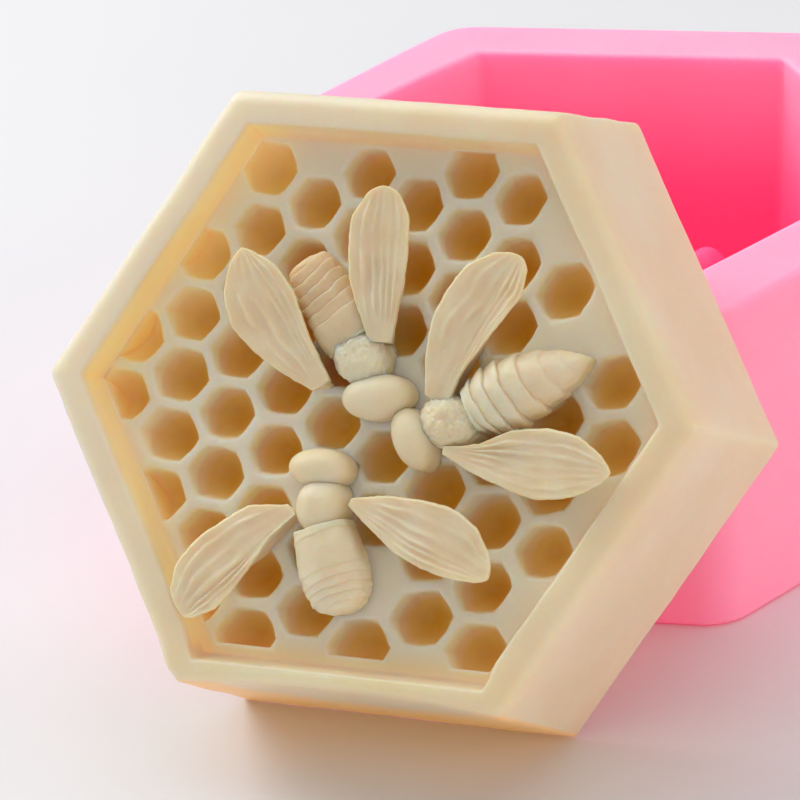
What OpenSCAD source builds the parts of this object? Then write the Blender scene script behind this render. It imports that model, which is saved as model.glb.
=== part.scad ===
// Silicone honeycomb-and-bees mould, with the candle wax piece cast in it leaning on its wall.
// Origin: centre of the mould's underside. +Z is up, and the near wall faces -Y.

/* [Mould] */
// Height of the mould
mold_h = 40.5; // [38:0.5:46]
// Thickness of the wall at the mouth, square to a side
wall_t = 9.5; // [7:0.1:12]
// Thickness of the floor under the cavity
floor_t = 8.8; // [7:0.1:12]
// Radius of the upright outer corners
outer_corner_r = 6; // [4:0.5:8]
// Turn of the relief in the cavity
relief_turn = 60; // [0:60:300]

/* [Casting] */
// Side of the back hexagon, the one at the mouth when it is poured
back_side = 40; // [36:0.5:44]
// Side of the front hexagon
front_side = 37.6; // [36:0.1:39.5]
// Thickness from the back to the rim
casting_t = 26; // [24:0.5:28]
// Thickness of the backing behind the cells
backing_t = 16.8; // [14:0.1:17]
// Side of the recess's hexagon at the rim
recess_side = 33.4; // [32:0.1:34]
// Side of the recess's hexagon at the comb
comb_side = 32.7; // [31.5:0.1:33]

/* [Comb] */
// Depth of each cell
cell_depth = 5; // [3:0.5:5]
// Width of a cell across its flats
cell_w = 5.2; // [4.5:0.1:5.8]
// Spacing of the columns of cells
column_pitch = 6.29; // [6:0.01:6.6]
// Spacing of the cells along a column
cell_pitch = 6.91; // [6.8:0.01:7.2]

/* [Bees] */
// Height of the bodies' centre lines over the comb
body_lift = 1.8; // [1.5:0.1:2.4]
// Radius of a head
head_r = 2.6; // [2:0.1:3]
// Radius of a thorax
thorax_r = 3.2; // [3:0.1:3.6]
// Thickness of a wing
wing_t = 1; // [0.8:0.1:1.4]
// Height of a wing's root over the comb
wing_root_lift = 2.7; // [2.2:0.1:3]
// Height of a wing's tip over the comb
wing_tip_lift = 4.3; // [3.5:0.1:5]
// Thickness of the web under a wing
web_t = 1.6; // [1:0.1:2]

/* [Place] */
// Lean of the casting back from upright
lean = 29.2; // [27:0.1:31]
// Turn of the casting about the upright
turn = -5.7; // [-8:0.1:-4]
// Where the middle of the casting's back edge stands
foot = [-6.8, -69.3]; // [-80:0.1:0]

/* [Hidden] */
$fn = 48;

silicone = [1.00, 0.42, 0.63];
silicone_deep = [1.00, 0.28, 0.52];
wax = [0.93, 0.87, 0.70];
wax_deep = [0.90, 0.76, 0.48];
wax_wing = [0.96, 0.92, 0.80];

// Ratio of a hexagon's apothem to its side
apo = sqrt(3) / 2;
// Larger than anything here
reach = 120;
// How far a cut runs past an open face
overcut = 1;
recess_depth = casting_t - backing_t - cell_depth;
comb_level = backing_t + cell_depth;
// The casting's front stands on the mould's floor, and its back comes this far up the mould
pour_level = floor_t + casting_t;
draft = (back_side - front_side) / casting_t;
mouth_side = front_side + draft * (mold_h - floor_t);
outer_apothem = mouth_side * apo + wall_t;

// The comb is laid out by hand, so its rows bow and spread a little
comb_start = [-1.5, -2.7];
comb_slant = [0.25, 0.27];
comb_spread = [-0.11, 0.035];
comb_bow = 0.11;
columns = 10;
rows = 5;
// Cells stay within this distance of a point a little to the left of the centre
comb_edge = 28.0;
comb_edge_shift = 0.3;
// Solid border between the cut cells and the recess's wall
comb_border = 0.5;
// A cell whose middle lies further than this inside a body's outline is left out
cell_cover = 0.8;

// Each bee: [head, turn of head, thorax, abdomen's base, abdomen's tip, abdomen's radius,
//            left wing, right wing], and each wing: [root, tip, widths on its left and right]
bee_a = [[0.9, 0.4], 11, [-1.4, 4.6], [-2.2, 5.7], [-9.5, 15.2], 3.7,
         [[-5.2, 1.1], [-15.5, 15.2], [4.8, 2.4]], [[1.1, 6.3], [0.2, 23.1], [3.6, 2.8]]];
bee_b = [[5.6, -3.8], -58, [9.6, -1.6], [11.3, -0.5], [24.8, 6.5], 4.2,
         [[8.4, 0.3], [16.3, 16.7], [5.0, 2.0]], [[9.6, -4.6], [28.7, -5.6], [3.6, 3.6]]];
bee_c = [[-4.4, -7.9], 4, [-3.9, -12.0], [-2.9, -13.8], [0.0, -23.6], 4.2,
         [[-6.8, -13.0], [-18.0, -25.3], [1.9, 4.9]], [[-0.4, -11.3], [16.4, -18.0], [4.6, 2.4]]];
bees = [bee_a, bee_b, bee_c];
head_len = 8;
abdomen_rings = 6;
ring_step = 0.35;
ring_points = 3;
wing_points = 14;
bar_waist = 0.3;

function cell_place(c, j) = [
  comb_start[0] + column_pitch * c + comb_slant[0] * j + comb_spread[0] * c * j,
  comb_start[1] + cell_pitch * j + comb_slant[1] * c + comb_spread[1] * c * j + comb_bow * c * c
];

function hex_distance(p) = max(abs(p[1]), abs(p[1]) / 2 + abs(p[0]) * apo);

function heading(from, to) = atan2(to[1] - from[1], to[0] - from[0]);

// Distance from a point to the line between two others
function line_distance(p, from, to) =
  let (share = (p - from) * (to - from) / ((to - from) * (to - from)))
  norm(p - from - min(1, max(0, share)) * (to - from));

// The two ends of a head's centre line
function head_end(bee, side) = bee[0] + side * (head_len / 2 - head_r) * [cos(bee[1]), sin(bee[1])];

// Whether the middle of a cell would lie well under a bee's body
function under(bee, p) =
  line_distance(p, head_end(bee, -1), head_end(bee, 1)) < head_r - cell_cover
  || norm(p - bee[2]) < thorax_r - cell_cover
  || line_distance(p, bee[3], bee[4]) < bee[5] - cell_cover;

// Radius of an abdomen at a fraction t of its length: an egg with a step at each ring
function abdomen_radius(r, t) =
  r * pow(sin(180 * pow(0.06 + 0.92 * t, 0.8)), 0.6) - ring_step * (1 - abdomen_rings * t + floor(abdomen_rings * t));

// Width of one side of a wing at a fraction t of its length: a petal, widest past the middle
function petal(w, t) = max(0.25 * w * (1 - t), w * pow(sin(180 * pow(t, 1.3)), 0.75));

// ---- Frames ----

// From the casting's own frame, back at z = 0 and face up, to where it leans
module leaning() {
  translate([foot[0], foot[1], 0])
    rotate([90 - lean, 0, turn])
      translate([0, back_side * apo, 0])
        children();
}

// From the comb's face in the casting's frame
module on_comb() {
  translate([0, 0, comb_level])
    children();
}

// From the casting's frame to where the mould forms it, face down
module face_down() {
  translate([0, 0, pour_level])
    rotate([180, 0, relief_turn])
      children();
}

// ---- Shapes ----

module hexagon(side) {
  circle(r = side, $fn = 6);
}

// Hexagonal block whose side runs from low at the bottom to high at the top
module hex_block(low, high, h) {
  slope = atan((high - low) * apo / h);
  intersection_for (i = [0:5])
    rotate([0, 0, 60 * i])
      intersection() {
        translate([-reach, -low * apo, 0])
          rotate([slope, 0, 0])
            translate([0, 0, -reach])
              cube([2 * reach, 2 * reach, 2 * reach]);
        translate([-reach, -reach, 0])
          cube([2 * reach, 2 * reach, h]);
      }
}

// Hexagon of the mould's outside, with rounded corners
module rounded_hexagon(apothem, r) {
  inner_side = (apothem - r) / apo;
  hexagon(inner_side);
  for (i = [0:2])
    rotate(60 * i)
      square([inner_side, 2 * apothem], center = true);
  for (i = [0:5])
    rotate(60 * i)
      translate([inner_side, 0])
        circle(r);
}

// A bar with round ends, lying along X
module bar(len, r) {
  half = len / 2 - r;
  for (side = [-1, 1])
    translate([side * half, 0, 0])
      sphere(r);
  rotate([0, 90, 0])
    cylinder(h = 2 * half, r = r, center = true);
}

// Outline of a bar between two points, a little slimmer between its round ends
module flat_bar(from, to, r) {
  translate(from)
    rotate(heading(from, to))
      translate([0, -r + bar_waist])
        square([norm(to - from), 2 * (r - bar_waist)]);
  translate(from)
    circle(r);
  translate(to)
    circle(r);
}

module above_comb() {
  intersection() {
    children();
    translate([-reach, -reach, 0])
      cube([2 * reach, 2 * reach, reach]);
  }
}

module head(bee) {
  above_comb()
    translate([bee[0][0], bee[0][1], body_lift])
      rotate([0, 0, bee[1]])
        bar(head_len, head_r);
}

module thorax(bee) {
  above_comb()
    translate([bee[2][0], bee[2][1], body_lift])
      sphere(thorax_r);
}

// Ringed egg, turned about its length and laid on the comb
module abdomen(bee) {
  len = norm(bee[4] - bee[3]);
  steps = abdomen_rings * ring_points;
  outline = [for (i = [0:steps]) [max(0.3, abdomen_radius(bee[5], i / steps)), len * i / steps]];
  above_comb()
    translate([bee[3][0], bee[3][1], body_lift])
      rotate([0, 0, heading(bee[3], bee[4])])
        rotate([0, 90, 0])
          rotate_extrude()
            polygon(concat([[0, 0]], outline, [[0, len]]));
}

// Petal that rises from root to tip, on a web that stands on the comb
module wing(data) {
  len = norm(data[1] - data[0]);
  rise = wing_tip_lift - wing_root_lift;
  left = [for (i = [0:wing_points]) [len * i / wing_points, petal(data[2][0], i / wing_points)]];
  right = [for (i = [wing_points:-1:0]) [len * i / wing_points, -petal(data[2][1], i / wing_points)]];
  web_from = 0.12 * len;
  web_to = 0.7 * len;
  translate([data[0][0], data[0][1], 0])
    rotate([0, 0, heading(data[0], data[1])]) {
      translate([0, 0, wing_root_lift])
        rotate([0, -atan(rise / len), 0])
          linear_extrude(wing_t)
            polygon(concat(left, right));
      rotate([90, 0, 0])
        linear_extrude(web_t, center = true)
          polygon([[web_from, 0], [web_to, 0],
                   [web_to, wing_root_lift + rise * web_to / len + wing_t / 2],
                   [web_from, wing_root_lift + rise * web_from / len + wing_t / 2]]);
    }
}

module bee_bodies(bee) {
  head(bee);
  thorax(bee);
  abdomen(bee);
}

module free_wing(bee, data) {
  difference() {
    wing(data);
    bee_bodies(bee);
  }
}

// Where the bodies stand, so that no cell opens under them
module body_prints() {
  for (bee = bees) {
    flat_bar(bee[3], bee[3] + (bee[4] - bee[3]) * 0.75, bee[5] - 0.4);
    translate(bee[2])
      circle(thorax_r);
    flat_bar(head_end(bee, -1), head_end(bee, 1), head_r);
  }
}

// Outlines of the open cells
module cells() {
  difference() {
    intersection() {
      hexagon(comb_side - comb_border / apo);
      for (column = [0:columns - 1], row = [-rows:rows]) {
        place = cell_place(column - (columns - 1) / 2, row + (column % 2) / 2);
        covered = under(bee_a, place) || under(bee_b, place) || under(bee_c, place);
        if (hex_distance(place + [comb_edge_shift, 0]) < comb_edge && !covered)
          translate(place)
            hexagon(cell_w / 2 / apo);
      }
    }
    body_prints();
  }
}

// ---- Mould ----

module mold_wall() {
  color(silicone)
    difference() {
      translate([0, 0, floor_t])
        linear_extrude(mold_h - floor_t)
          rounded_hexagon(outer_apothem, outer_corner_r);
      translate([0, 0, floor_t])
        hex_block(front_side, mouth_side + draft * overcut, mold_h - floor_t + overcut);
    }
}

// The three bees as they are sunk in the cavity
module sunk_bees() {
  face_down()
    on_comb()
      for (bee = bees) {
        bee_bodies(bee);
        wing(bee[6]);
        wing(bee[7]);
      }
}

module mold_floor() {
  color(silicone)
    difference() {
      linear_extrude(floor_t)
        rounded_hexagon(outer_apothem, outer_corner_r);
      sunk_bees();
    }
}

// Raised bed that forms the recess, with the bees sunk through it into the floor
module mold_comb_bed() {
  color(silicone_deep)
    difference() {
      translate([0, 0, floor_t])
        hex_block(recess_side, comb_side, recess_depth);
      sunk_bees();
    }
}

module mold_cell_studs() {
  color(silicone_deep)
    face_down()
      translate([0, 0, backing_t])
        linear_extrude(cell_depth)
          cells();
}

// ---- Casting ----

module casting_backing() {
  color(wax)
    leaning()
      hex_block(back_side, back_side - draft * backing_t, backing_t);
}

module casting_rim() {
  color(wax)
    leaning()
      difference() {
        translate([0, 0, backing_t])
          hex_block(back_side - draft * backing_t, front_side, casting_t - backing_t);
        translate([0, 0, backing_t])
          linear_extrude(cell_depth)
            hexagon(comb_side);
        on_comb()
          hex_block(comb_side, recess_side, recess_depth);
      }
}

module casting_comb() {
  color(wax_deep)
    leaning()
      translate([0, 0, backing_t])
        linear_extrude(cell_depth)
          difference() {
            hexagon(comb_side);
            cells();
          }
}

module leaning_relief() {
  leaning()
    on_comb()
      children();
}

module bee_a_head() {
  color(wax)
    leaning_relief()
      difference() {
        head(bee_a);
        thorax(bee_a);
      }
}

module bee_a_thorax() {
  color(wax)
    leaning_relief()
      thorax(bee_a);
}

module bee_a_abdomen() {
  color(wax)
    leaning_relief()
      difference() {
        abdomen(bee_a);
        thorax(bee_a);
      }
}

module bee_a_left_wing() {
  color(wax_wing)
    leaning_relief()
      free_wing(bee_a, bee_a[6]);
}

module bee_a_right_wing() {
  color(wax_wing)
    leaning_relief()
      free_wing(bee_a, bee_a[7]);
}

module bee_b_head() {
  color(wax)
    leaning_relief()
      difference() {
        head(bee_b);
        thorax(bee_b);
        head(bee_a);
      }
}

module bee_b_thorax() {
  color(wax)
    leaning_relief()
      thorax(bee_b);
}

module bee_b_abdomen() {
  color(wax)
    leaning_relief()
      difference() {
        abdomen(bee_b);
        thorax(bee_b);
      }
}

module bee_b_left_wing() {
  color(wax_wing)
    leaning_relief()
      free_wing(bee_b, bee_b[6]);
}

module bee_b_right_wing() {
  color(wax_wing)
    leaning_relief()
      free_wing(bee_b, bee_b[7]);
}

module bee_c_head() {
  color(wax)
    leaning_relief()
      difference() {
        head(bee_c);
        thorax(bee_c);
      }
}

module bee_c_thorax() {
  color(wax)
    leaning_relief()
      thorax(bee_c);
}

module bee_c_abdomen() {
  color(wax)
    leaning_relief()
      difference() {
        abdomen(bee_c);
        thorax(bee_c);
      }
}

module bee_c_left_wing() {
  color(wax_wing)
    leaning_relief()
      free_wing(bee_c, bee_c[6]);
}

module bee_c_right_wing() {
  color(wax_wing)
    leaning_relief()
      free_wing(bee_c, bee_c[7]);
}

mold_wall();
mold_floor();
mold_comb_bed();
mold_cell_studs();
casting_backing();
casting_rim();
casting_comb();
bee_a_head();
bee_a_thorax();
bee_a_abdomen();
bee_a_left_wing();
bee_a_right_wing();
bee_b_head();
bee_b_thorax();
bee_b_abdomen();
bee_b_left_wing();
bee_b_right_wing();
bee_c_head();
bee_c_thorax();
bee_c_abdomen();
bee_c_left_wing();
bee_c_right_wing();
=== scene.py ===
"""Looks of a silicone honeycomb-and-bees mould and of the wax piece cast in it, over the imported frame."""
import math

import bpy
import numpy as np
from mathutils import Matrix, Vector


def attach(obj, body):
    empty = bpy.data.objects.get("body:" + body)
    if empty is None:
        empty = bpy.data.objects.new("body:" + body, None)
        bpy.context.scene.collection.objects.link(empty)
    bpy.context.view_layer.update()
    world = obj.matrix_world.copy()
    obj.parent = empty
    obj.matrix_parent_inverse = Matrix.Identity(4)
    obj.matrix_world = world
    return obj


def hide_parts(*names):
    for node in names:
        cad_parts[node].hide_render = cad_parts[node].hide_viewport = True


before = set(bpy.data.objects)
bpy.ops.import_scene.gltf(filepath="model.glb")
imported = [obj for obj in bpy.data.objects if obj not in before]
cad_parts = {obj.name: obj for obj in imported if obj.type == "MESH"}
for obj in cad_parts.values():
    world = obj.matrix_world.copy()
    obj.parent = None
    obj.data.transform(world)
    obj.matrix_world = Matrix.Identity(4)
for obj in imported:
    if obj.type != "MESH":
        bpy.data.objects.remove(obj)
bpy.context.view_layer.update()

MM = 0.001
APO = math.sqrt(3) / 2

# ---- Sizes, in millimetres, as in the CAD ----

MOULD_H = 40.5
WALL_T = 9.5
FLOOR_T = 8.8
OUTER_CORNER_R = 6.0
RELIEF_TURN = math.radians(60)
BACK_SIDE = 40.0
FRONT_SIDE = 37.6
CASTING_T = 26.0
BACKING_T = 16.8
RECESS_SIDE = 33.4
COMB_SIDE = 32.7
CELL_DEPTH = 5.0
CELL_W = 5.2
COLUMN_PITCH = 6.29
CELL_PITCH = 6.91
COLUMNS = 10
ROWS = 5
LEAN = math.radians(29.2)
TURN = math.radians(-5.7)
FOOT = Vector((-6.8, -69.3, 0.0))

COMB_LEVEL = BACKING_T + CELL_DEPTH
RECESS_DEPTH = CASTING_T - COMB_LEVEL
DRAFT = (BACK_SIDE - FRONT_SIDE) / CASTING_T
POUR_LEVEL = FLOOR_T + CASTING_T

# ---- Bees, in the plane of the comb's face ----

# Each oval: centre, half length, half width, turn in degrees, height of its top over the comb
HEADS = {
    "a": ((0.9, 0.4), 4.0, 2.5, 11, 4.6),
    "b": ((5.5, -3.8), 3.6, 2.2, -60, 4.5),
    "c": ((-4.8, -7.9), 3.6, 2.2, 0, 4.5),
}
THORAXES = {
    "a": ((-1.4, 4.6), 3.3, 2.9, -31, 4.6),
    "b": ((9.6, -1.6), 3.5, 3.0, -19, 4.7),
    "c": ((-4.1, -12.0), 3.3, 2.9, 75, 5.0),
}
# Each abdomen: base, tip, half width, height of its top over the comb, its taper from base to tip,
# and its grooves, each at a share of its length and with its depth
ABDOMENS = {
    "a": ((-2.3, 6.0), (-9.1, 14.7), 3.3, 4.3, (0.95, 1.06, 1.04, 0.98, 0.92, 0.84, 0.7),
          ((0.3, 0.1), (0.44, 0.15), (0.56, 0.16), (0.68, 0.16), (0.79, 0.14), (0.9, 0.1))),
    "b": ((11.9, -0.1), (24.4, 6.5), 3.7, 5.4, (0.72, 0.98, 1.04, 0.96, 0.78, 0.5, 0.12),
          ((0.09, 0.32), (0.2, 0.4), (0.33, 0.4), (0.5, 0.3), (0.68, 0.14), (0.84, 0.08))),
    "c": ((-3.8, -14.2), (-0.3, -23.4), 3.6, 5.2, (0.9, 0.98, 1.02, 1.04, 1.0, 0.88, 0.5),
          ((0.08, 0.06), (0.48, 0.05), (0.6, 0.08), (0.7, 0.1), (0.79, 0.12), (0.88, 0.12))),
}
# Each wing: root, tip, half widths on its left and right at even stations from root to tip
WINGS = {
    "a_left": ((-5.2, 1.1), (-15.5, 15.2), (1.2, 3.2, 4.6, 5.3, 4.4, 1.4), (1.1, 1.5, 2.0, 2.7, 2.3, 0.4)),
    "a_right": ((1.1, 6.3), (0.2, 23.1), (1.3, 2.6, 3.7, 3.8, 3.5, 1.5), (1.2, 2.0, 2.6, 3.0, 3.0, 1.5)),
    "b_left": ((8.4, 0.3), (16.3, 16.7), (1.8, 3.8, 5.0, 5.2, 4.6, 1.8), (1.3, 0.8, 1.3, 1.9, 2.4, 1.3)),
    "b_right": ((9.6, -4.6), (28.7, -5.6), (0.3, 1.1, 3.0, 3.8, 3.4, 1.0), (0.6, 2.2, 3.3, 3.9, 3.1, 0.8)),
    "c_left": ((-6.8, -13.0), (-18.0, -25.3), (0.4, 0.3, 1.1, 1.8, 2.0, 1.0), (1.2, 4.0, 4.8, 5.1, 4.8, 2.4)),
    "c_right": ((-0.4, -11.3), (16.4, -18.0), (0.5, 2.6, 4.0, 4.8, 4.3, 1.6), (0.4, 1.5, 2.4, 2.5, 1.9, 0.6)),
}
WING_ROOT_H = 3.2
WING_TIP_H = 4.8
WING_T = 0.9


# ---- Small mathematics ----

NOISE_TABLE = np.random.default_rng(7).random((32, 32, 32))


def value_noise(points):
    """Smooth noise from -1 to 1 at each row of points, with features about one unit wide."""
    base = np.floor(points).astype(int)
    part = points - base
    part = part * part * (3 - 2 * part)
    total = np.zeros(len(points))
    for dx in (0, 1):
        for dy in (0, 1):
            for dz in (0, 1):
                corner = NOISE_TABLE[(base[:, 0] + dx) % 32, (base[:, 1] + dy) % 32, (base[:, 2] + dz) % 32]
                weight = (
                    (part[:, 0] if dx else 1 - part[:, 0])
                    * (part[:, 1] if dy else 1 - part[:, 1])
                    * (part[:, 2] if dz else 1 - part[:, 2])
                )
                total += corner * weight
    return 2 * total - 1


def ripple(points, width, seed=0.0):
    """Two octaves of noise whose features are about width millimetres across."""
    points = np.asarray(points, float) + seed * 17.3
    return 0.7 * value_noise(points / width) + 0.3 * value_noise(points / (0.45 * width) + 5.1)


def smooth_step(low, high, value):
    t = np.clip((value - low) / (high - low), 0, 1)
    return t * t * (3 - 2 * t)


def spread(stations, count):
    """Smooth curve through even stations, sampled count times."""
    stations = np.asarray(stations, float)
    x = np.linspace(0, len(stations) - 1, count)
    k = np.clip(x.astype(int), 0, len(stations) - 2)
    t = x - k
    slope = np.gradient(stations)
    h00 = 2 * t**3 - 3 * t**2 + 1
    h10 = t**3 - 2 * t**2 + t
    h01 = -2 * t**3 + 3 * t**2
    h11 = t**3 - t**2
    return h00 * stations[k] + h10 * slope[k] + h01 * stations[k + 1] + h11 * slope[k + 1]


def turned(xy, degrees):
    c, s = math.cos(math.radians(degrees)), math.sin(math.radians(degrees))
    return np.stack([c * xy[:, 0] - s * xy[:, 1], s * xy[:, 0] + c * xy[:, 1]], axis=1)


# ---- Meshes ----

# From the comb's own frame, its face at z = 0, to where the casting leans
ON_COMB = (
    Matrix.Translation(FOOT * MM)
    @ Matrix.Rotation(TURN, 4, "Z")
    @ Matrix.Rotation(math.pi / 2 - LEAN, 4, "X")
    @ Matrix.Translation(Vector((0, BACK_SIDE * APO, COMB_LEVEL)) * MM)
)
# The same relief as the mould forms it, face down on its floor
IN_MOULD = (
    Matrix.Translation(Vector((0, 0, POUR_LEVEL - COMB_LEVEL)) * MM)
    @ Matrix.Rotation(RELIEF_TURN, 4, "Z")
    @ Matrix.Rotation(math.pi, 4, "X")
)


def new_object(name, points, faces, place=Matrix.Identity(4)):
    """Object at the row's origin, its points in millimetres put where place says."""
    mesh = bpy.data.meshes.new(name)
    mesh.from_pydata((np.asarray(points, float) * MM).tolist(), [], faces)
    mesh.polygons.foreach_set("use_smooth", [True] * len(mesh.polygons))
    mesh.transform(place)
    mesh.update()
    obj = bpy.data.objects.new(name, mesh)
    bpy.context.scene.collection.objects.link(obj)
    return obj


def skin(rings):
    """Points and faces of a closed solid through a stack of rings, its ends closed with a fan."""
    rings = [np.asarray(r, float) for r in rings]
    n = len(rings[0])
    points = np.concatenate(rings + [rings[0].mean(0)[None], rings[-1].mean(0)[None]])
    faces = []
    for i in range(len(rings) - 1):
        a, b = i * n, (i + 1) * n
        faces += [(a + k, a + (k + 1) % n, b + (k + 1) % n, b + k) for k in range(n)]
    first, last = len(rings) * n, len(rings) * n + 1
    top = (len(rings) - 1) * n
    faces += [(first, (k + 1) % n, k) for k in range(n)]
    faces += [(last, top + k, top + (k + 1) % n) for k in range(n)]
    return points, faces


def joined(solids):
    """One list of points and faces from several solids."""
    points, faces, start = [], [], 0
    for p, f in solids:
        points.append(p)
        faces += [tuple(i + start for i in face) for face in f]
        start += len(p)
    return np.concatenate(points), faces


def boolean(target, cutter, operation):
    """Cuts or joins cutter into target and removes cutter."""
    bpy.context.view_layer.update()
    modifier = target.modifiers.new(operation.lower(), "BOOLEAN")
    modifier.operation = operation
    modifier.solver = "MANIFOLD"
    modifier.object = cutter
    depsgraph = bpy.context.evaluated_depsgraph_get()
    mesh = bpy.data.meshes.new_from_object(target.evaluated_get(depsgraph))
    mesh.name = target.name
    target.modifiers.clear()
    target.data = mesh
    mesh.polygons.foreach_set("use_smooth", [True] * len(mesh.polygons))
    bpy.data.objects.remove(cutter)


def hex_ring(apothem, corner_r, z, per_side=36, per_corner=7):
    """Ring of points round a hexagon with rounded corners, corners on the X axis first."""
    inner = (apothem - corner_r) / APO
    points = []
    for k in range(6):
        middle = math.radians(60 * k)
        centre = (inner * math.cos(middle), inner * math.sin(middle))
        for i in range(per_corner):
            angle = middle + math.radians(-30 + 60 * i / (per_corner - 1))
            points.append((centre[0] + corner_r * math.cos(angle), centre[1] + corner_r * math.sin(angle)))
        after = math.radians(60 * (k + 1))
        start = points[-1]
        end = (
            inner * math.cos(after) + corner_r * math.cos(middle + math.radians(30)),
            inner * math.sin(after) + corner_r * math.sin(middle + math.radians(30)),
        )
        for i in range(1, per_side):
            t = i / per_side
            points.append((start[0] + t * (end[0] - start[0]), start[1] + t * (end[1] - start[1])))
    return np.array([(x, y, z) for x, y in points])


def rounding(radius, angles):
    """How far a rounded edge stands back from each of its two faces, at each of some angles in degrees."""
    turns = [math.radians(degrees) for degrees in angles]
    return [(radius * (1 - math.sin(a)), radius * (1 - math.cos(a))) for a in turns]


def hex_distance(points):
    """Distance from the axis square to the nearest side, for each point."""
    x, y = np.abs(points[:, 0]), np.abs(points[:, 1])
    return np.maximum(y, y / 2 + x * APO)


# ---- The casting's block, with its comb ----

# The middle of the comb, how it slants and spreads along X and Y from column to column, and how its rows bow
COMB_START = (-1.5, -2.7)
COMB_SLANT = (0.25, 0.27)
COMB_SPREAD = (-0.11, 0.035)
COMB_BOW = 0.11
# No cell has its middle further out than the edge, and the edge's middle is shifted to the left
COMB_EDGE = 28.0
COMB_EDGE_SHIFT = 0.3
# How far under a bee's body the middle of a cell lies before the cell is left out
CELL_COVER = 0.8
# Each bee's footprint: the centre, half length, half width and turn of its head, thorax and abdomen
FOOTPRINTS = {
    "a": (((0.9, 0.4), 4.1, 2.6, 11), ((-1.4, 4.6), 3.3, 2.9, -31), ((-5.5, 10.2), 5.6, 3.8, 128)),
    "b": (((5.6, -3.8), 3.9, 2.5, -58), ((9.6, -1.6), 3.5, 3.1, -19), ((17.8, 2.9), 7.0, 4.3, 27)),
    "c": (((-4.4, -7.9), 4.0, 2.4, 4), ((-3.9, -12.0), 3.5, 3.3, 75), ((-1.5, -18.4), 4.8, 4.3, -74)),
}


def cell_place(c, j):
    """Where a cell sits on the comb's face: the rows bow and spread a little."""
    return np.array([
        COMB_START[0] + COLUMN_PITCH * c + COMB_SLANT[0] * j + COMB_SPREAD[0] * c * j,
        COMB_START[1] + CELL_PITCH * j + COMB_SLANT[1] * c + COMB_SPREAD[1] * c * j + COMB_BOW * c * c,
    ])


def covered(place):
    """Whether the middle of a cell would lie well under a bee's body."""
    for bee in "abc":
        for centre, half_length, half_width, turn in FOOTPRINTS[bee]:
            x, y = turned((place - centre)[None], -turn)[0]
            if math.hypot(x / (half_length - CELL_COVER), y / (half_width - CELL_COVER)) < 1:
                return True
    return False


def cells():
    """Every cell: its centre and how its hexagon is stretched there."""
    found = []
    for number in range(COLUMNS):
        for row in range(-ROWS, ROWS + 1):
            c = number - (COLUMNS - 1) / 2
            j = row + (number % 2) / 2
            place = cell_place(c, j)
            reach = max(abs(place[1]), abs(place[1]) / 2 + abs(place[0] + COMB_EDGE_SHIFT) * APO)
            if reach < COMB_EDGE and not covered(place):
                across = (cell_place(c + 0.5, j) - cell_place(c - 0.5, j)) / (CELL_PITCH * APO)
                along = (cell_place(c, j + 0.5) - cell_place(c, j - 0.5)) / CELL_PITCH
                found.append((place, across, along))
    return found


def comb_height(xy):
    """Unevenness of the comb's face."""
    height, width = 0.14, 7.0
    flat = np.column_stack([xy, np.zeros(len(xy))])
    return height * ripple(flat, width, 1.0)


def rounded_hexagon(turn, roundness, count=36):
    """Unit outline of a flat-topped hexagon, its corners softened by roundness."""
    angle = np.linspace(0, 2 * math.pi, count, endpoint=False)
    sector = (np.degrees(angle) + 60) % 60 - 30
    radius = (1 - roundness) / np.cos(np.radians(sector)) + roundness * 1.04
    return turned(np.column_stack([radius * np.cos(angle), radius * np.sin(angle)]), turn)


# Each step down a cell's lip: how much wider than the cell it is, and its height over the comb's face
LIP = ((0.55, 0.12), (0.43, -0.02), (0.33, -0.13), (0.24, -0.3), (0.14, -0.6))
# Each step down the bowl below the lip, as a share of its depth
BOWL = (0.14, 0.28, 0.42, 0.55, 0.67, 0.77, 0.86, 0.93, 0.98)
# How round a cell is at its lip, and how much rounder it gets towards its floor
LIP_ROUNDNESS = 0.42
ADDED_ROUNDNESS = 0.58
# The least wax between a cell and the recess's side
CELL_BORDER = 0.35


def kept_inside(xy, apothem):
    """Points pushed back inside a hexagon, square to the side that they crossed."""
    xy = xy.copy()
    for k in range(6):
        normal = np.array([math.cos(math.radians(30 + 60 * k)), math.sin(math.radians(30 + 60 * k))])
        over = np.maximum(xy @ normal - apothem, 0)
        xy -= over[:, None] * normal
    return xy


def well(place, across, along, rng):
    """Closed solid that cuts one cell, or is its stud: a soft lip, then a bowl. No two are quite alike."""
    size = CELL_W / 2 * rng.uniform(0.95, 1.05)
    turn = rng.uniform(-4, 4)
    depth = CELL_DEPTH * rng.uniform(0.93, 1.0)
    drift = rng.uniform(-0.25, 0.25, 2)

    def ring(offset, scale, h, roundness):
        unit = rounded_hexagon(turn, roundness)
        local = unit * (size * scale + offset)
        xy = place + np.outer(local[:, 0], across) + np.outer(local[:, 1], along) + drift * (-h / depth)
        at = np.column_stack([xy, np.full(len(xy), h)])
        wobble = 1 + 0.055 * ripple(at, 2.4, 2.0) + 0.04 * ripple(at, 0.9, 4.0)
        middle = xy.mean(0)
        xy = middle + (xy - middle) * wobble[:, None]
        xy = kept_inside(xy, COMB_SIDE * APO - CELL_BORDER)
        z = np.full(len(xy), h)
        if h > -1.5:
            z = z + comb_height(xy)
        return np.column_stack([xy, z])

    rings = [ring(offset, 1, h, LIP_ROUNDNESS) for offset, h in LIP]
    last_offset, last_h = LIP[-1]
    for part in BOWL:
        share = (1 - part**1.8) ** 0.6
        h = last_h - (depth + last_h) * part
        rings.append(ring(last_offset * share, share, h, LIP_ROUNDNESS + ADDED_ROUNDNESS * part))
    return skin(rings[::-1])


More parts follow.
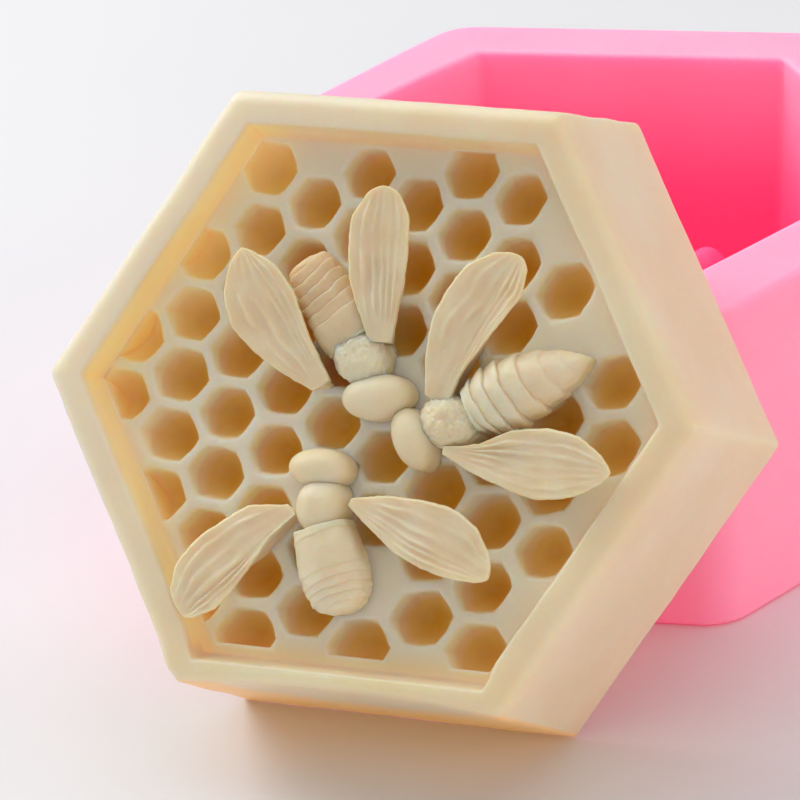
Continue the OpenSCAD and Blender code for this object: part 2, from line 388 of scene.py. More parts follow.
def oval_outline(centre, half_length, half_width, turn, scale=1.0, count=48):
    """Points round an oval, its turn in degrees."""
    angle = np.linspace(0, 2 * math.pi, count, endpoint=False)
    xy = np.column_stack([half_length * np.cos(angle), half_width * np.sin(angle)]) * scale
    return turned(xy, turn) + centre


def column(outline, low, high):
    """Straight closed solid on an outline."""
    return skin([np.column_stack([outline, np.full(len(outline), h)]) for h in (low, high)])


# How much of its footprint the wax under a head, a thorax and an abdomen takes
COLUMN_SHARES = (0.78, 0.78, 0.62)


def body_columns():
    """Solid wax under every body, so that no cell opens there."""
    low, high = -CELL_DEPTH - 0.4, 0.25
    solids = []
    for bee in "abc":
        for number, (oval, share) in enumerate(zip(FOOTPRINTS[bee], COLUMN_SHARES)):
            # Ends at different heights, so that no two columns share a face
            step = 0.05 * number
            solids.append(column(oval_outline(*oval, share), low - step, high + step))
    return solids


def side_apothem(z):
    """How far the casting's sides stand from its axis at a height over its back."""
    return (BACK_SIDE - DRAFT * z) * APO


def recess_apothem(z):
    """The same for the sides of its recess."""
    return (COMB_SIDE + (RECESS_SIDE - COMB_SIDE) * (z - COMB_LEVEL) / RECESS_DEPTH) * APO


def block_rows():
    """From the middle of the back round to the middle of the comb: apothem, corner radius and height."""
    edge, back_edge, inner_edge, fillet = 1.5, 0.35, 0.4, 0.6
    back, front = side_apothem(0), side_apothem(CASTING_T)
    mouth, face = recess_apothem(CASTING_T), recess_apothem(COMB_LEVEL)
    rows = [(a, 0.6, 0.0) for a in np.linspace(3, back - back_edge, 14)]
    rows += [(back - s, 0.9, c) for s, c in rounding(back_edge, (20, 45, 70, 90))]
    sides = np.linspace(back_edge + 0.9, CASTING_T - edge - 0.3, 24)
    rows += [(side_apothem(z), 0.9 + 0.4 * z / CASTING_T, z) for z in sides]
    rows += [(front - c, 1.3, CASTING_T - s) for s, c in rounding(edge, range(0, 91, 15))]
    rows += [(a, 1.0, CASTING_T) for a in np.linspace(front - edge - 0.4, mouth + inner_edge + 0.2, 3)]
    rows += [(mouth + s, 0.6, CASTING_T - c) for s, c in rounding(inner_edge, range(0, 91, 30))]
    walls = np.linspace(CASTING_T - inner_edge - 0.3, COMB_LEVEL + fillet + 0.2, 6)
    rows += [(recess_apothem(z), 0.6, z) for z in walls]
    rows += [(face - c, 0.6, COMB_LEVEL + s) for s, c in rounding(fillet, range(0, 91, 30))]
    return rows + [(a, 0.6, COMB_LEVEL) for a in np.linspace(face - fillet - 0.8, 1.5, 28)]


def lowered(points):
    """New places along Y: the recess reaches a little lower, and the wax of the lower edge shrank upwards."""
    drop, shrinkage, shrunk_half_length = 1.0, 1.0, 18
    low_side = smooth_step(26.8, 28.1, -points[:, 1]) * smooth_step(31.8, 30.2, -points[:, 1])
    low_side *= points[:, 2] > -1
    low_side *= smooth_step(21.5, 19.0, np.abs(points[:, 0]))
    dropped = points[:, 1] - drop * low_side
    mouth = recess_apothem(CASTING_T)
    rim = smooth_step(mouth + 0.8, mouth + 2.5, -dropped)
    rim *= smooth_step(4 - COMB_LEVEL, CASTING_T - COMB_LEVEL, points[:, 2])
    bow = np.clip(1 - (points[:, 0] / shrunk_half_length) ** 2, 0, 1)
    return dropped + shrinkage * rim * bow


def casting_block():
    """Backing, rim and comb: a hexagonal block with soft edges, its recess, and the cells cut in it."""
    points, faces = skin([hex_ring(a, min(r, a * 0.4), z - COMB_LEVEL) for a, r, z in block_rows()])
    # Hand-cast unevenness, on the comb's face upright only, so that the cells' lips follow it
    on_face = smooth_step(-0.4, 0.4, 0.5 - np.abs(points[:, 2]))
    on_face *= np.hypot(points[:, 0], points[:, 1]) < 31.5
    on_face *= smooth_step(0.0, 0.8, recess_apothem(COMB_LEVEL) - hex_distance(points))
    sideways = np.zeros_like(points)
    for width, seed, size in ((9.0, 3.0, 0.16), (2.4, 7.0, 0.06), (1.1, 17.0, 0.03)):
        sideways += np.column_stack([ripple(points, width, seed + k) for k in range(3)]) * size
    points = points + sideways * (1 - on_face)[:, None]
    points[:, 2] += on_face * comb_height(points[:, :2])
    points[:, 1] = lowered(points)
    block = new_object("casting_block", points, faces, ON_COMB)
    rng = np.random.default_rng(11)
    wells = [well(place, across, along, rng) for place, across, along in cells()]
    boolean(block, new_object("wells", *joined(wells), ON_COMB), "DIFFERENCE")
    for number, solid in enumerate(body_columns()):
        boolean(block, new_object(f"column_{number}", *solid, ON_COMB), "UNION")
    return block


# ---- Bees ----

# Heights over the comb at which a body is widest, and at which it ends inside the wax
EQUATOR = 1.9
BURIED = -0.4


def dome(outline, top, rings=26):
    """Rings of a body that rises straight from the comb and closes in a dome, on the plan outline(scale)."""
    low = [(1.06, BURIED), (1.03, 0.2), (1.01, 0.7), (1.0, 1.3)]
    stack = [np.column_stack([outline(scale), np.full(len(outline(1)), h)]) for scale, h in low]
    for angle in np.linspace(0, 86, rings):
        a = math.radians(angle)
        scale, h = math.cos(a) ** 0.85, EQUATOR + (top - EQUATOR) * math.sin(a)
        stack.append(np.column_stack([outline(scale), np.full(len(outline(1)), h)]))
    return stack


def roughened(points, layers):
    """Points moved a little every way by noise. Each layer is a width and a size in millimetres."""
    moved = points.copy()
    for number, (width, size) in enumerate(layers):
        for axis in range(3):
            moved[:, axis] += size * ripple(points, width, 20.0 + 3 * number + axis)
    return moved


def head(bee):
    """Smooth oval."""
    centre, a, b, turn, top = HEADS[bee]
    points, faces = skin(dome(lambda scale: oval_outline(centre, a, b, turn, scale, 72), top))
    return roughened(points, [(3.0, 0.12), (1.1, 0.03)]), faces


def thorax(bee):
    """Oval with a rough fuzz, which is smoother on bee c."""
    centre, a, b, turn, top = THORAXES[bee]
    points, faces = skin(dome(lambda scale: oval_outline(centre, a, b, turn, scale, 110), top, 44))
    fuzz = [(2.4, 0.3), (0.9, 0.16), (0.38, 0.17)] if bee != "c" else [(2.6, 0.2), (1.2, 0.05)]
    return roughened(points, fuzz), faces


def plates(line, grooves):
    """Height of overlapping plates: each rises towards its rear edge, then drops into a narrow groove."""
    swell = np.zeros_like(line)
    starts = [0.0] + [place for place, _ in grooves]
    ends = [place for place, _ in grooves] + [1.0]
    depths = [grooves[0][1]] + [depth for _, depth in grooves]
    for start, end, depth in zip(starts, ends, depths):
        part = (line - start) / (end - start)
        here = (part >= 0) & (part < 1)
        rise = depth * (smooth_step(0, 0.9, part) - 0.6)
        swell += np.where(here, rise - 0.5 * depth * np.exp(-((part / 0.1) ** 2)), 0)
    return swell


def abdomen(bee):
    """Plated egg, lying on the comb with a flattened back and a ragged tail."""
    base, tip, half_width, top, taper, grooves = ABDOMENS[bee]
    base, tip = np.array(base), np.array(tip)
    length = np.linalg.norm(tip - base)
    ahead = (tip - base) / length
    aside = np.array([-ahead[1], ahead[0]])
    count, around = 200, 96
    t = np.linspace(0, 1, count)
    width = spread(taper, count) * half_width
    rise = spread([share ** 0.8 for share in taper], count) * (top - EQUATOR)
    tail_start, tail_length = 0.92, 0.08
    close = np.sqrt(np.clip(1 - ((t - tail_start) / tail_length).clip(0, 1) ** 2, 0.004, 1))
    angle = np.linspace(0, 2 * math.pi, around, endpoint=False)
    cos, sin = np.cos(angle), np.sin(angle)
    upper = sin >= 0
    side = np.where(upper, cos, np.sign(cos) * np.abs(cos) ** 0.5)
    stack = []
    for i in range(count):
        at = np.column_stack([3 * cos, 3 * sin, np.full(around, 9 * t[i])])
        # The plates' edges curve, wander and fade out under the body
        line = t[i] + 0.035 * cos - 0.03 * cos**2 + 0.014 * ripple(at, 1.5, 31.0)
        swell = plates(line, grooves) * np.where(upper, 1, np.abs(cos)) * smooth_step(0.0, 0.05, t[i])
        ragged = 1 + 0.09 * ripple(at, 0.9, 33.0) * np.abs(cos) ** 3 * smooth_step(0.45, 0.85, t[i])
        # A blunt oval above the equator, and an almost square one below it
        w = (width[i] * ragged + swell) * close[i]
        up = (rise[i] + swell) * close[i]
        level = EQUATOR * close[i] ** 0.3
        z = np.where(upper, level + up * np.abs(sin) ** 0.8, level - (level - BURIED) * np.abs(sin) ** 0.5)
        xy = base + ahead * (t[i] * length) + np.outer(side * w, aside)
        stack.append(np.column_stack([xy, z]))
    points, faces = skin(stack)
    return roughened(points, [(2.5, 0.16), (1.1, 0.09), (0.5, 0.03)]), [f[::-1] for f in faces]


# Where the veins run, from a wing's right edge at -1 to its left edge at 1, how wide each is in the same
# measure, and how high it stands
VEINS = (-0.66, -0.34, -0.05, 0.26, 0.58)
VEIN_W = 0.055
VEIN_H = 0.32


def wing(name):
    """Thin petal with veins, rising from its root, on a keel that joins it to the comb."""
    root, tip, left, right = WINGS[name]
    seed = 40.0 + 3 * sorted(WINGS).index(name)
    root, tip = np.array(root), np.array(tip)
    length = np.linalg.norm(tip - root)
    ahead = (tip - root) / length
    aside = np.array([-ahead[1], ahead[0]])
    count, across = 150, 120
    s = np.sin(np.linspace(0, math.pi / 2, count))
    fine = np.linspace(0, 1, 400)
    stations = np.linspace(0, 1, len(left))
    left, right = (
        0.5 * np.interp(s, fine, spread(side, len(fine))) + 0.5 * np.interp(s, stations, side)
        for side in (left, right)
    )
    tip_start, tip_length = 0.93, 0.07
    close = np.sqrt(np.clip(1 - ((s - tip_start) / tip_length).clip(0, 1) ** 2, 0.0005, 1))
    left, right = left * close, right * close
    angle = np.linspace(0, math.pi, across // 2 + 1)
    w = np.concatenate([np.cos(angle), np.cos(angle[1:-1])[::-1]])
    top_side = np.arange(len(w)) <= across // 2
    blunt = np.sqrt(np.clip(1 - np.abs(w) ** 14, 0, 1))
    stack = []
    for i in range(count):
        half = np.where(w >= 0, left[i], right[i])
        here = root + ahead * (s[i] * length) + np.outer(w * half, aside)
        grain = np.column_stack([here, np.full(len(w), 5.0)])
        # Its edge is chipped, apart from its root and tip
        chips = 0.13 * ripple(grain, 2.4, seed) + 0.09 * ripple(grain, 0.6, seed + 4)
        reach = w * half + np.sign(w) * chips * np.abs(w) ** 6 * min(half.max(), 1) * close[i]
        here = root + ahead * (s[i] * length) + np.outer(reach, aside)
        # It rises to its tip, arched along its length and dished across, and warps a little
        level = WING_ROOT_H + (WING_TIP_H - WING_ROOT_H) * s[i] + 0.25 * math.sin(math.pi * s[i])
        level = level + 0.3 * w * w * min(half.max() / 4, 1) + 0.3 * ripple(grain, 6.0, seed + 1)
        # Veins that meander, start past the root and fade in places, with fine streaks between them
        meander = 0.13 * ripple(grain, 3.6, seed + 2)
        veins = sum(np.exp(-(((w - v - meander) / VEIN_W) ** 2)) for v in VEINS)
        veins = VEIN_H * veins * smooth_step(0.08, 0.3, s[i]) * smooth_step(1.0, 0.8, s[i])
        veins *= 0.2 + 0.8 * np.clip(0.5 + 1.8 * ripple(grain, 3.2, seed + 3), 0, 1)
        streaks = np.column_stack([np.full(len(w), s[i] * length / 4), w * half, np.full(len(w), seed)])
        veins = veins + 0.13 * ripple(streaks, 1.1, seed + 6) + 0.05 * ripple(streaks, 0.45, seed + 7)
        border = 0.14 * np.exp(-(((np.abs(w) - 0.95) / 0.04) ** 2))
        thick = WING_T * (1.15 - 0.3 * s[i])
        upper = level + (veins + border) * (1 - w**10) * close[i] + 0.5 * thick * blunt
        # The keel goes down into the comb along the wing's first two thirds
        keel = np.exp(-((w / 0.4) ** 2)) * smooth_step(0.68, 0.4, s[i]) * (level + 0.6)
        lower = level - 0.5 * thick * blunt - keel * blunt
        z = np.where(top_side, upper, lower)
        stack.append(np.column_stack([here, z]))
    points, faces = skin(stack)
    return roughened(points, [(1.2, 0.03)]), faces


def bee_solids():
    """Every bee piece by its node's name."""
    solids = {}
    for bee in "abc":
        solids[f"bee_{bee}_head"] = head(bee)
        solids[f"bee_{bee}_thorax"] = thorax(bee)
        solids[f"bee_{bee}_abdomen"] = abdomen(bee)
        solids[f"bee_{bee}_left_wing"] = wing(f"{bee}_left")
        solids[f"bee_{bee}_right_wing"] = wing(f"{bee}_right")
    return solids


# ---- The mould ----


def cavity_apothem(z):
    """How far the cavity's sides stand from its axis at a height over the mould's underside."""
    return (FRONT_SIDE + DRAFT * (z - FLOOR_T)) * APO


def mould_shell():
    """Floor and wall in one: outside, rim with soft edges, and the cavity down to its floor."""
    mouth, floor_side = cavity_apothem(MOULD_H), cavity_apothem(FLOOR_T)
    outer = mouth + WALL_T
    foot_r, rim_r, lip_r, cove, corner_r = 1.0, 0.8, 0.6, 0.8, 1.5
    rows = [(a, 4.0, 0.0) for a in np.linspace(4, outer - foot_r, 12)]
    rows += [(outer - s, OUTER_CORNER_R, c) for s, c in rounding(foot_r, (30, 60, 90))]
    rows += [(outer, OUTER_CORNER_R, z) for z in np.linspace(foot_r + 1, MOULD_H - rim_r - 0.5, 30)]
    rows += [(outer - c, OUTER_CORNER_R, MOULD_H - s) for s, c in rounding(rim_r, range(0, 91, 18))]
    for part in np.linspace(0.05, 0.95, 8):
        a = outer - rim_r + (mouth + lip_r - outer + rim_r) * part
        rows.append((a, OUTER_CORNER_R + (corner_r - OUTER_CORNER_R) * part, MOULD_H))
    rows += [(mouth + s, corner_r, MOULD_H - c) for s, c in rounding(lip_r, (0, 22, 45, 68, 90))]
    walls = np.linspace(MOULD_H - lip_r - 1, FLOOR_T + cove + 0.5, 26)
    rows += [(cavity_apothem(z), corner_r, z) for z in walls]
    rows += [(floor_side - c, 1.2, FLOOR_T + s) for s, c in rounding(cove, range(0, 91, 30))]
    rows += [(a, 1.0, FLOOR_T) for a in np.linspace(floor_side - cove - 1, 3, 8)]
    points, faces = skin([hex_ring(a, min(r, 0.6 * a), z, 44, 11) for a, r, z in rows])
    # Soft rubber gives a little, always inwards
    off_table = smooth_step(0.3, 2.0, points[:, 2])
    points[:, :2] *= (1 - 0.0015 * off_table * (1 + ripple(points, 22.0, 50.0)))[:, None]
    points[:, 2] -= 0.06 * off_table * (1 + ripple(points, 22.0, 51.0))
    # Its left corner sags inwards and forwards, and its right corner backwards
    inward, forward, backward = 3.2, 2.6, 2.0
    raised = smooth_step(FLOOR_T, MOULD_H, points[:, 2])
    sag = smooth_step(24, 52, -points[:, 0]) * raised
    points[:, 0] += inward * sag
    points[:, 1] -= forward * sag
    points[:, 1] += backward * smooth_step(28, 52, points[:, 0]) * raised
    return points, faces


def bed_blank():
    """The raised bed before the bees are sunk in it, in the comb's frame, face down."""
    overlap, fillet = 0.6, 0.5
    side = lambda h: (COMB_SIDE + (RECESS_SIDE - COMB_SIDE) * h / RECESS_DEPTH) * APO
    rows = [(a, 0.6, 0.0) for a in np.linspace(2, side(0) - fillet, 16)]
    rows += [(side(0) - s, 0.6, c) for s, c in rounding(fillet, (30, 60, 90))]
    rows += [(side(h), 0.6, h) for h in np.linspace(1.0, RECESS_DEPTH + overlap, 6)]
    rows += [(a, 0.6, RECESS_DEPTH + overlap) for a in np.linspace(side(RECESS_DEPTH) - 2, 3, 4)]
    points, faces = skin([hex_ring(a, min(r, 0.4 * a), z, 30, 5) for a, r, z in rows])
    points[:, 2] += comb_height(points[:, :2]) * (points[:, 2] < 0.01)
    return points, faces


def sunk(target, solids):
    """Presses every part of the bees into the target."""
    for name, solid in solids.items():
        boolean(target, new_object("print_" + name, *solid, IN_MOULD), "DIFFERENCE")


def mould_relief(solids):
    """The bed with a stud for each cell and a hollow for each part of a bee."""
    relief = new_object("mold_relief", *bed_blank(), IN_MOULD)
    # The same draws as for the cells, so that every stud fits its cell
    rng = np.random.default_rng(11)
    studs = [well(place, across, along, rng) for place, across, along in cells()]
    boolean(relief, new_object("studs", *joined(studs), IN_MOULD), "UNION")
    for number, solid in enumerate(body_columns()):
        boolean(relief, new_object(f"print_{number}", *solid, IN_MOULD), "DIFFERENCE")
    sunk(relief, solids)
    return relief


# ---- Materials ----


def material(name, build):
    """Material with one Principled shader, which build(tree, shader) sets up."""
    made = bpy.data.materials.new(name)
    made.use_nodes = True
    tree = made.node_tree
    tree.nodes.clear()
    output = tree.nodes.new("ShaderNodeOutputMaterial")
    shader = tree.nodes.new("ShaderNodeBsdfPrincipled")
    tree.links.new(shader.outputs["BSDF"], output.inputs["Surface"])
    build(tree, shader)
    return made


def noise_node(tree, scale, detail=3.0, roughness=0.55):
    place = tree.nodes.new("ShaderNodeTexCoord")
    made = tree.nodes.new("ShaderNodeTexNoise")
    made.inputs["Scale"].default_value = scale
    made.inputs["Detail"].default_value = detail
    made.inputs["Roughness"].default_value = roughness
    tree.links.new(place.outputs["Object"], made.inputs["Vector"])
    return made


def ramp(tree, source, stops):
    """Colour by a source, from stops of a place and a colour."""
    made = tree.nodes.new("ShaderNodeValToRGB")
    made.color_ramp.interpolation = "EASE"
    elements = made.color_ramp.elements
    while len(elements) < len(stops):
        elements.new(0.5)
    for element, (place, colour) in zip(elements, stops):
        element.position = place
        element.color = (*colour, 1.0)
    tree.links.new(source, made.inputs["Fac"])
    return made.outputs["Color"]


def mix(tree, factor, a, b):
    """Colour that goes from a, which may be a socket, to b as the factor goes from 0 to 1."""
    made = tree.nodes.new("ShaderNodeMix")
    made.data_type = "RGBA"
    tree.links.new(factor, made.inputs["Factor"])
    colour_a, colour_b = made.inputs[6], made.inputs[7]
    for socket, value in ((colour_a, a), (colour_b, b)):
        if isinstance(value, tuple):
            socket.default_value = (*value, 1.0)
        else:
            tree.links.new(value, socket)
    return made.outputs[2]


def bump(tree, shader, height, strength, distance):
    made = tree.nodes.new("ShaderNodeBump")
    made.inputs["Strength"].default_value = strength
    made.inputs["Distance"].default_value = distance
    tree.links.new(height, made.inputs["Height"])
    tree.links.new(made.outputs["Normal"], shader.inputs["Normal"])


def attribute(tree, name):
    made = tree.nodes.new("ShaderNodeAttribute")
    made.attribute_name = name
    return made.outputs["Fac"]


# Base colours of the wax and the silicone
CREAM = (0.90, 0.74, 0.50)
CREAM_PALE = (0.93, 0.80, 0.58)
IVORY = (0.92, 0.77, 0.52)
IVORY_PALE = (0.95, 0.83, 0.61)
WEB = (0.95, 0.84, 0.68)
# Painted highlight on the rim
RIM_GLARE = (0.94, 0.84, 0.68)
WALL_SHADE = (0.78, 0.58, 0.32)
# Painted shade on the underside
UNDERSIDE_SHADE = (0.86, 0.48, 0.24)
# Painted shade and bounce light in the cells, from tan to amber towards their floors
TAN = (0.92, 0.70, 0.44)
HONEY = (0.93, 0.62, 0.18)
AMBER = (0.92, 0.50, 0.03)
# Painted glow: its colour, and the colour and strength of its emission
PAINTED_GLOW = (0.96, 0.80, 0.42)
BACKLIGHT = (1.0, 0.66, 0.18, 1.0)
BACKLIGHT_STRENGTH = 0.13
# Painted shade: a darker copy of the bees' wax
SHADED_WAX = (0.80, 0.60, 0.36)
SHADED_WAX_PALE = (0.86, 0.68, 0.44)
WING_WAX = (0.88, 0.72, 0.46)
WING_WAX_PALE = (0.93, 0.80, 0.56)
PINK = (1.0, 0.44, 0.62)
PINK_PALE = (1.0, 0.48, 0.66)
# Painted shade deep in the cavity
CAVITY_SHADE_PINK = (1.0, 0.15, 0.34)


def wax_shader(tree, shader, colour, scatter):
    """Satin, translucent wax. Scatter is how far light goes in, in metres."""
    tree.links.new(colour, shader.inputs["Base Color"])
    shader.subsurface_method = "RANDOM_WALK"
    shader.inputs["Subsurface Weight"].default_value = 1.0
    shader.inputs["Subsurface Radius"].default_value = (1.0, 0.62, 0.30)
    shader.inputs["Subsurface Scale"].default_value = scatter
    shader.inputs["IOR"].default_value = 1.44
    mottle = noise_node(tree, 420.0, 4.0)
    rough = tree.nodes.new("ShaderNodeMapRange")
    rough.inputs["To Min"].default_value = 0.36
    rough.inputs["To Max"].default_value = 0.52
    tree.links.new(mottle.outputs["Fac"], rough.inputs["Value"])
    tree.links.new(rough.outputs["Result"], shader.inputs["Roughness"])
    grain = noise_node(tree, 1500.0, 3.0)
    bump(tree, shader, grain.outputs["Fac"], 0.22, 0.00012)


def wax_block(tree, shader):
    clouds = noise_node(tree, 90.0)
    cream = ramp(tree, clouds.outputs["Fac"], [(0.3, CREAM), (0.75, CREAM_PALE)])
    # Painted shade in the cells, deeper towards their floors and lower right
    cell_shade_colour = ramp(tree, attribute(tree, "cell_depth"), [(0.02, WEB), (0.2, TAN), (0.55, HONEY), (1.0, AMBER)])
    face = mix(tree, attribute(tree, "comb_face"), cream, WEB)
    # Painted highlight on the rim
    face = mix(tree, attribute(tree, "rim_glare"), face, RIM_GLARE)
    face = mix(tree, attribute(tree, "wall_shade"), face, WALL_SHADE)
    # Painted shade on the underside
    face = mix(tree, attribute(tree, "underside"), face, UNDERSIDE_SHADE)
    colour = mix(tree, attribute(tree, "in_cell"), face, cell_shade_colour)
    # Painted glow along the recess's sides
    colour = mix(tree, attribute(tree, "glow"), colour, PAINTED_GLOW)
    wax_shader(tree, shader, colour, 0.0045)
    # Painted glow: emission standing in for light from behind the piece coming through its left side, and a
    # little through the others, and under its lower edge
    shader.inputs["Emission Color"].default_value = BACKLIGHT
    strength = tree.nodes.new("ShaderNodeMath")
    strength.operation = "MULTIPLY"
    strength.inputs[1].default_value = BACKLIGHT_STRENGTH
    tree.links.new(attribute(tree, "lit"), strength.inputs[0])
    tree.links.new(strength.outputs["Value"], shader.inputs["Emission Strength"])


def cloudy_wax(tree, shader, fineness, colour, pale, scatter):
    """Wax whose colour wanders between two."""
    clouds = noise_node(tree, fineness)
    wax_shader(tree, shader, ramp(tree, clouds.outputs["Fac"], [(0.3, colour), (0.75, pale)]), scatter)


def wax_bee(tree, shader):
    cloudy_wax(tree, shader, 200.0, IVORY, IVORY_PALE, 0.0022)


# Painted shade: a darker copy of the bees' wax, for bee a's abdomen, which lies lower and in shade
def wax_shaded(tree, shader):
    cloudy_wax(tree, shader, 200.0, SHADED_WAX, SHADED_WAX_PALE, 0.0026)


def wax_wing(tree, shader):
    cloudy_wax(tree, shader, 260.0, WING_WAX, WING_WAX_PALE, 0.0012)


def silicone(tree, shader):
    clouds = noise_node(tree, 40.0)
    pink = ramp(tree, clouds.outputs["Fac"], [(0.3, PINK), (0.75, PINK_PALE)])
    # Painted shade: deeper pink further down the cavity
    pink = mix(tree, attribute(tree, "cavity"), pink, CAVITY_SHADE_PINK)
    tree.links.new(pink, shader.inputs["Base Color"])
    shader.subsurface_method = "RANDOM_WALK"
    shader.inputs["Subsurface Weight"].default_value = 1.0
    shader.inputs["Subsurface Radius"].default_value = (1.0, 0.35, 0.5)
    shader.inputs["Subsurface Scale"].default_value = 0.006
    # Painted glow: a little red emission, standing in for light carried through the rubber and for its dye's
    # fluorescence
    shader.inputs["Emission Color"].default_value = (1.0, 0.02, 0.12, 1.0)
    shader.inputs["Emission Strength"].default_value = 0.3
    shader.inputs["Roughness"].default_value = 0.5
    shader.inputs["IOR"].default_value = 1.41
    grain = noise_node(tree, 900.0, 3.0)
    bump(tree, shader, grain.outputs["Fac"], 0.15, 0.0001)


def store(obj, named):
    """Keeps values on the mesh's points, as attributes for the shaders."""
    for name, values in named.items():
        layer = obj.data.attributes.new(name, "FLOAT", "POINT")
        layer.data.foreach_set("value", values.astype(np.float32))


def mark_cavity_shade(obj):
    """Painted shade in the cavity: how far down the cavity a point is."""
    points = np.array([vertex.co for vertex in obj.data.vertices]) / MM
    mouth, darkest = cavity_apothem(MOULD_H), MOULD_H - 22
    inside = smooth_step(mouth + 1.5, mouth + 0.2, hex_distance(points)) * (points[:, 2] > 2)
    store(obj, {"cavity": inside * smooth_step(MOULD_H, darkest, points[:, 2])})


# Painted glow on each side of the recess, standing in for light through the wax: where it is in degrees, how
# strongly it glows, and how far in the glow reaches
GLOWING_SIDES = [
    (150, 1.0, 4.0), (210, 0.7, 3.0), (90, 0.4, 2.0),
    (30, 0.35, 3.0), (-30, 0.4, 3.0), (270, 0.4, 2.2),
]


def mark_cells(obj):
    """Where each of the block's colours goes, with its painted shade, highlight and glow, and how strongly
    the painted glow shines.
    """
    to_comb = ON_COMB.inverted()
    points = np.array([to_comb @ vertex.co for vertex in obj.data.vertices]) / MM
    reach = hex_distance(points)
    edge = COMB_SIDE * APO
    under_rim = RECESS_DEPTH - points[:, 2]
    in_front = points[:, 2] > -CELL_DEPTH - 0.6
    inside = ((reach < edge - 0.3) & in_front & (points[:, 2] < 0.5)).astype(float)
    # Painted shade: each cell darkens towards its floor and from its upper left to its lower right
    centres = np.array([place for place, _, _ in cells()])
    nearest = centres[np.argmin(np.linalg.norm(points[:, None, :2] - centres, axis=2), axis=1)]
    across = np.clip((points[:, :2] - nearest) @ (0.8, -0.6) / 2.9, -1, 1)
    depth = np.clip(-points[:, 2] / CELL_DEPTH + 0.3 * across - 0.05, 0, 1) * inside
    glow = np.zeros(len(points))
    for degrees, strength, fade in GLOWING_SIDES:
        a = math.radians(degrees)
        gap = edge - points[:, :2] @ (math.cos(a), math.sin(a))
        glow = np.maximum(glow, strength * np.exp(-np.abs(gap) / fade))
    glow *= in_front * (reach < edge + 0.9) * smooth_step(0.0, 1.2, under_rim)
    on_face = inside * smooth_step(0.6, 0.0, -points[:, 2])
    glow *= 1 - 0.45 * on_face
    # Painted highlight: the rim gets paler towards its upper left
    rim_glare = smooth_step(-5, 38, points[:, 1] / 2 - points[:, 0] * APO) * (reach > edge + 0.8) * 0.8
    lower_wall = np.exp(-np.abs(edge + points[:, 1]) / 0.9) * (reach < edge + 2.5)
    wall_shade = lower_wall * smooth_step(0.0, 0.4, points[:, 2]) * smooth_step(0.0, 0.6, under_rim)
    side = side_apothem(points[:, 2] + COMB_LEVEL)
    # Painted shade on the underside by the lower edge, which also drives painted glow
    underside = smooth_step(0.5, 0.1, side + points[:, 1]) * smooth_step(0.3, 1.8, under_rim)
    store(obj, {
        "cell_depth": depth, "in_cell": inside - on_face, "comb_face": on_face, "glow": glow,
        "rim_glare": rim_glare, "wall_shade": wall_shade, "underside": underside,
        "lit": np.maximum(glow, 1.2 * underside),
    })


# ---- Putting it together ----

MATERIALS = {
    "wax": material("wax_block", wax_block),
    "wax_bee": material("wax_bee", wax_bee),
    "wax_wing": material("wax_wing", wax_wing),
    "wax_shaded": material("wax_shaded", wax_shaded),
    "silicone": material("silicone", silicone),
}


def placed(obj, body, slot, look, *nodes):
    """Gives a piece its material and says which body and CAD nodes it belongs to; slot is not used."""
    obj.data.materials.clear()
    obj.data.materials.append(MATERIALS[look])
    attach(obj, body)
    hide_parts(*nodes)


block = casting_block()
mark_cells(block)
placed(block, "casting", "wax", "wax", "casting_backing", "casting_rim", "casting_comb")

solids = bee_solids()
for name, solid in solids.items():
    slot = "wax_wing" if name.endswith("wing") else "wax_bee"
    # Bee a's abdomen gets the darker copy of the bees' wax, as painted shade
    look = "wax_shaded" if name == "bee_a_abdomen" else slot
    placed(new_object(name + "_wax", *solid, ON_COMB), "casting", slot, look, name)

shell = new_object("mold_shell", *mould_shell())
sunk(shell, solids)
mark_cavity_shade(shell)
placed(shell, "mold", "silicone", "silicone", "mold_wall", "mold_floor")
relief = mould_relief(solids)
mark_cavity_shade(relief)
placed(relief, "mold", "silicone_relief", "silicone", "mold_comb_bed", "mold_cell_studs")


# ---- Floor, light and camera ----


def floor():
    """Plain pale floor."""
    half = 2.5
    mesh = bpy.data.meshes.new("floor")
    corners = [(-half, -half, 0), (half, -half, 0), (half, half, 0), (-half, half, 0)]
    mesh.from_pydata(corners, [], [(0, 1, 2, 3)])
    obj = bpy.data.objects.new("floor", mesh)
    bpy.context.scene.collection.objects.link(obj)

    def paper(tree, shader):
        clouds = noise_node(tree, 6.0)
        tone = ramp(tree, clouds.outputs["Fac"], [(0.3, (0.82, 0.82, 0.83)), (0.7, (0.85, 0.85, 0.86))])
        tree.links.new(tone, shader.inputs["Base Color"])
        shader.inputs["Roughness"].default_value = 0.6

    mesh.materials.append(material("floor_paper", paper))


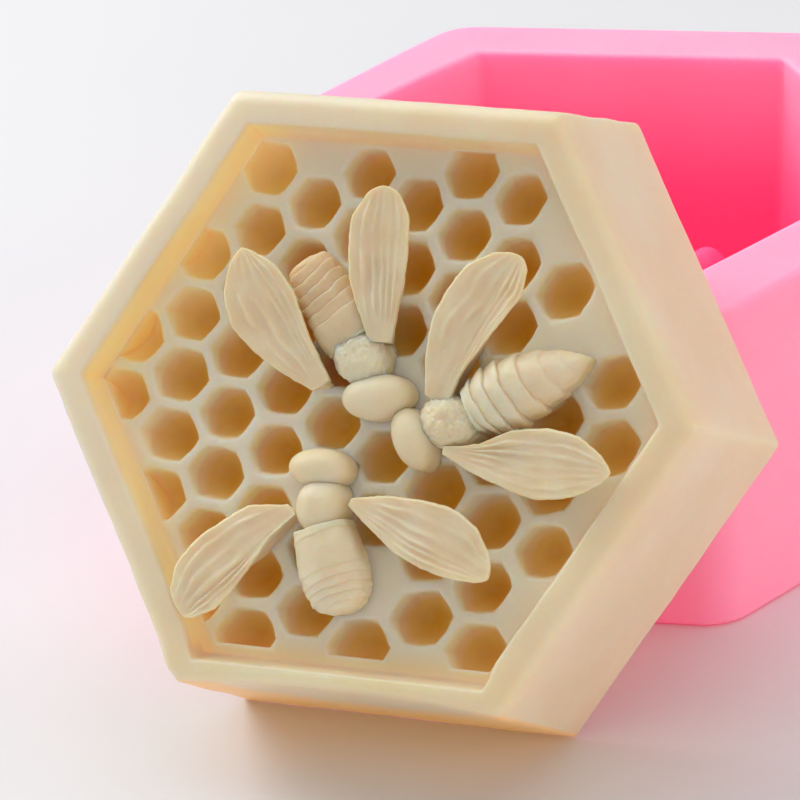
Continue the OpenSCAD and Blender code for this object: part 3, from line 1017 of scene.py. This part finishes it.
def softbox(name, place, aim, size, watts, colour=(1, 1, 1)):
    """Square of soft light that faces aim."""
    light = bpy.data.lights.new(name, "AREA")
    light.shape = "RECTANGLE"
    light.size, light.size_y = size
    light.energy = watts
    light.color = colour
    obj = bpy.data.objects.new(name, light)
    obj.location = place
    obj.rotation_euler = (Vector(aim) - Vector(place)).to_track_quat("-Z", "Y").to_euler()
    bpy.context.scene.collection.objects.link(obj)


def camera():
    """Long lens, looking down at the casting's face and rolled a little."""
    azimuth, elevation, roll = math.radians(15.93), math.radians(25.28), math.radians(4.47)
    aim, distance = Vector((-9.2, -54.0, 32.6)) * MM, 486.8 * MM
    level = math.cos(elevation)
    forward = Vector((-math.sin(azimuth) * level, math.cos(azimuth) * level, -math.sin(elevation)))
    right = forward.cross(Vector((0, 0, 1))).normalized()
    up = right.cross(forward)
    right, up = (
        math.cos(roll) * right - math.sin(roll) * up,
        math.sin(roll) * right + math.cos(roll) * up,
    )
    data = bpy.data.cameras.new("camera")
    data.sensor_width = 36.0
    data.lens = 193.0
    data.clip_start, data.clip_end = 0.01, 20.0
    obj = bpy.data.objects.new("camera", data)
    turn = Matrix((right, up, -forward)).transposed().to_4x4()
    obj.matrix_world = Matrix.Translation(aim - forward * distance) @ turn
    bpy.context.scene.collection.objects.link(obj)
    bpy.context.scene.camera = obj


floor()
softbox("key_left", (-0.55, 0.15, 0.55), (0, -0.05, 0.03), (0.5, 0.5), 3.7)
softbox("fill_front", (0.1, -0.9, 0.6), (0, -0.06, 0.03), (0.8, 0.6), 0.5)
softbox("fill_right", (0.75, -0.16, 0.16), (0, -0.06, 0.03), (0.4, 0.3), 1.4, (1.0, 0.68, 0.54))
softbox("top", (0.05, 0.1, 0.9), (0, 0, 0), (0.9, 0.9), 2.6)
world = bpy.data.worlds.new("studio")
world.use_nodes = True
world.node_tree.nodes["Background"].inputs["Color"].default_value = (0.93, 0.95, 1.0, 1.0)
world.node_tree.nodes["Background"].inputs["Strength"].default_value = 0.36
bpy.context.scene.world = world
bpy.context.scene.view_settings.view_transform = "Standard"
camera()

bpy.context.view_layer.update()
